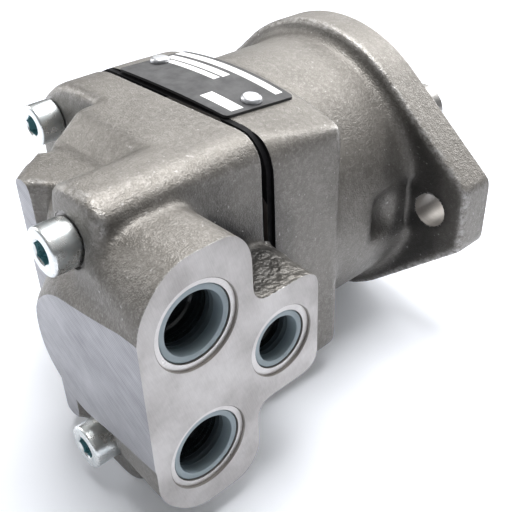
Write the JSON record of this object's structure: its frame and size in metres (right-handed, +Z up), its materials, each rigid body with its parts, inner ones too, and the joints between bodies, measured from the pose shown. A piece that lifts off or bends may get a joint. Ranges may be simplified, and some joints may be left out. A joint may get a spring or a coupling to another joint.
{
  "type": "bent-axis hydraulic motor",
  "caption": "Bent-axis hydraulic piston motor with a two-bolt pilot flange, keyed output shaft and an angled end cap carrying plugged threaded ports.",
  "frame": {"origin": "centre of the mounting face on the shaft axis", "axes": "+Y along the output shaft, out of the mounting face; +Z up, through the nameplate; +X towards the port face"},
  "size_m": [0.1325, 0.192, 0.102],
  "materials": {
    "cast_iron": "shot-blasted",
    "black_seal": "matte",
    "zinc_steel": "zinc plated",
    "plate_print": "printed dark grey",
    "rivet_metal": "bright",
    "plug_plastic": "translucent",
    "bronze": "lapped",
    "ground_steel": "ground",
    "turned_steel": "turned",
    "gear_steel": "hardened",
    "spring_steel": "blackened",
    "rubber": "moulded"
  },
  "bodies": {
    "motor_body": {"bearing_housing": "cast_iron", "end_cap": "cast_iron", "housing_seal_plate": "black_seal", "cap_screws_long": "zinc_steel", "cap_screws_short": "zinc_steel", "nameplate": "plate_print", "nameplate_rivets": "rivet_metal", "port_plug_a": "plug_plastic", "port_plug_b": "plug_plastic", "drain_plug": "plug_plastic", "valve_plate": "bronze", "valve_plate_pin": "ground_steel", "barrel_bush": "bronze", "rear_bearing_outer_ring": "ground_steel", "front_bearing_outer_ring": "ground_steel", "seal_carrier": "turned_steel", "carrier_o_ring": "rubber", "shaft_seal": "rubber", "retaining_ring": "spring_steel"},
    "shaft": {"output_shaft": "ground_steel", "shaft_timing_gear": "gear_steel", "shaft_key": "turned_steel", "rear_bearing_inner_ring": "ground_steel", "front_bearing_inner_ring": "ground_steel", "bearing_nut": "spring_steel"},
    "rear_roller_set": {"rear_bearing_cage": "turned_steel", "rear_bearing_rollers": "ground_steel"},
    "front_roller_set": {"front_bearing_cage": "turned_steel", "front_bearing_rollers": "ground_steel"},
    "barrel": {"cylinder_barrel": "gear_steel", "barrel_timing_gear": "gear_steel", "centre_pin": "ground_steel", "disc_springs": "spring_steel"},
    "seat_1": {"ball_seat_1": "bronze"},
    "stroke_1": {"piston_1": "ground_steel", "piston_ring_1": "spring_steel"},
    "seat_2": {"ball_seat_2": "bronze"},
    "stroke_2": {"piston_2": "ground_steel", "piston_ring_2": "spring_steel"},
    "seat_3": {"ball_seat_3": "bronze"},
    "stroke_3": {"piston_3": "ground_steel", "piston_ring_3": "spring_steel"},
    "seat_4": {"ball_seat_4": "bronze"},
    "stroke_4": {"piston_4": "ground_steel", "piston_ring_4": "spring_steel"},
    "seat_5": {"ball_seat_5": "bronze"},
    "stroke_5": {"piston_5": "ground_steel", "piston_ring_5": "spring_steel"}
  },
  "joints": [
    {"name": "shaft_spin", "type": "hinge", "parent": "motor_body", "child": "shaft", "pos_m": [0, -0.068, 0], "axis": [0, 1, 0], "continuous": true},
    {"name": "barrel_spin", "type": "hinge", "parent": "motor_body", "child": "barrel", "pos_m": [0, -0.068, 0], "axis": [-0.6428, 0.766, 0], "continuous": true},
    {"name": "rear_roller_travel", "type": "hinge", "parent": "motor_body", "child": "rear_roller_set", "pos_m": [0, -0.046, 0], "axis": [0, 1, 0], "continuous": true},
    {"name": "front_roller_travel", "type": "hinge", "parent": "motor_body", "child": "front_roller_set", "pos_m": [0, -0.0285, 0], "axis": [0, 1, 0], "continuous": true},
    {"name": "seat_1_turn", "type": "hinge", "parent": "shaft", "child": "seat_1", "pos_m": [0.013, -0.068, 0], "axis": [0, 1, 0], "continuous": true},
    {"name": "piston_1_swivel", "type": "hinge", "parent": "seat_1", "child": "stroke_1", "pos_m": [0.013, -0.068, 0], "axis": [-0.6428, 0.766, 0], "continuous": true},
    {"name": "seat_2_turn", "type": "hinge", "parent": "shaft", "child": "seat_2", "pos_m": [0.00402, -0.068, 0.01236], "axis": [0, 1, 0], "continuous": true},
    {"name": "piston_2_swivel", "type": "hinge", "parent": "seat_2", "child": "stroke_2", "pos_m": [0.00402, -0.068, 0.01236], "axis": [-0.6428, 0.766, 0], "continuous": true},
    {"name": "seat_3_turn", "type": "hinge", "parent": "shaft", "child": "seat_3", "pos_m": [-0.01052, -0.068, 0.00764], "axis": [0, 1, 0], "continuous": true},
    {"name": "piston_3_swivel", "type": "hinge", "parent": "seat_3", "child": "stroke_3", "pos_m": [-0.01052, -0.068, 0.00764], "axis": [-0.6428, 0.766, 0], "continuous": true},
    {"name": "seat_4_turn", "type": "hinge", "parent": "shaft", "child": "seat_4", "pos_m": [-0.01052, -0.068, -0.00764], "axis": [0, 1, 0], "continuous": true},
    {"name": "piston_4_swivel", "type": "hinge", "parent": "seat_4", "child": "stroke_4", "pos_m": [-0.01052, -0.068, -0.00764], "axis": [-0.6428, 0.766, 0], "continuous": true},
    {"name": "seat_5_turn", "type": "hinge", "parent": "shaft", "child": "seat_5", "pos_m": [0.00402, -0.068, -0.01236], "axis": [0, 1, 0], "continuous": true},
    {"name": "piston_5_swivel", "type": "hinge", "parent": "seat_5", "child": "stroke_5", "pos_m": [0.00402, -0.068, -0.01236], "axis": [-0.6428, 0.766, 0], "continuous": true}
  ],
  "couplings": [
    {"joint": "barrel_spin", "follows": "shaft_spin", "ratio": 1},
    {"joint": "rear_roller_travel", "follows": "shaft_spin", "ratio": 0.4341},
    {"joint": "front_roller_travel", "follows": "shaft_spin", "ratio": 0.4333},
    {"joint": "seat_1_turn", "follows": "shaft_spin", "ratio": -1},
    {"joint": "piston_1_swivel", "follows": "shaft_spin", "ratio": -1},
    {"joint": "seat_2_turn", "follows": "shaft_spin", "ratio": -1},
    {"joint": "piston_2_swivel", "follows": "shaft_spin", "ratio": -1},
    {"joint": "seat_3_turn", "follows": "shaft_spin", "ratio": -1},
    {"joint": "piston_3_swivel", "follows": "shaft_spin", "ratio": -1},
    {"joint": "seat_4_turn", "follows": "shaft_spin", "ratio": -1},
    {"joint": "piston_4_swivel", "follows": "shaft_spin", "ratio": -1},
    {"joint": "seat_5_turn", "follows": "shaft_spin", "ratio": -1},
    {"joint": "piston_5_swivel", "follows": "shaft_spin", "ratio": -1}
  ]
}
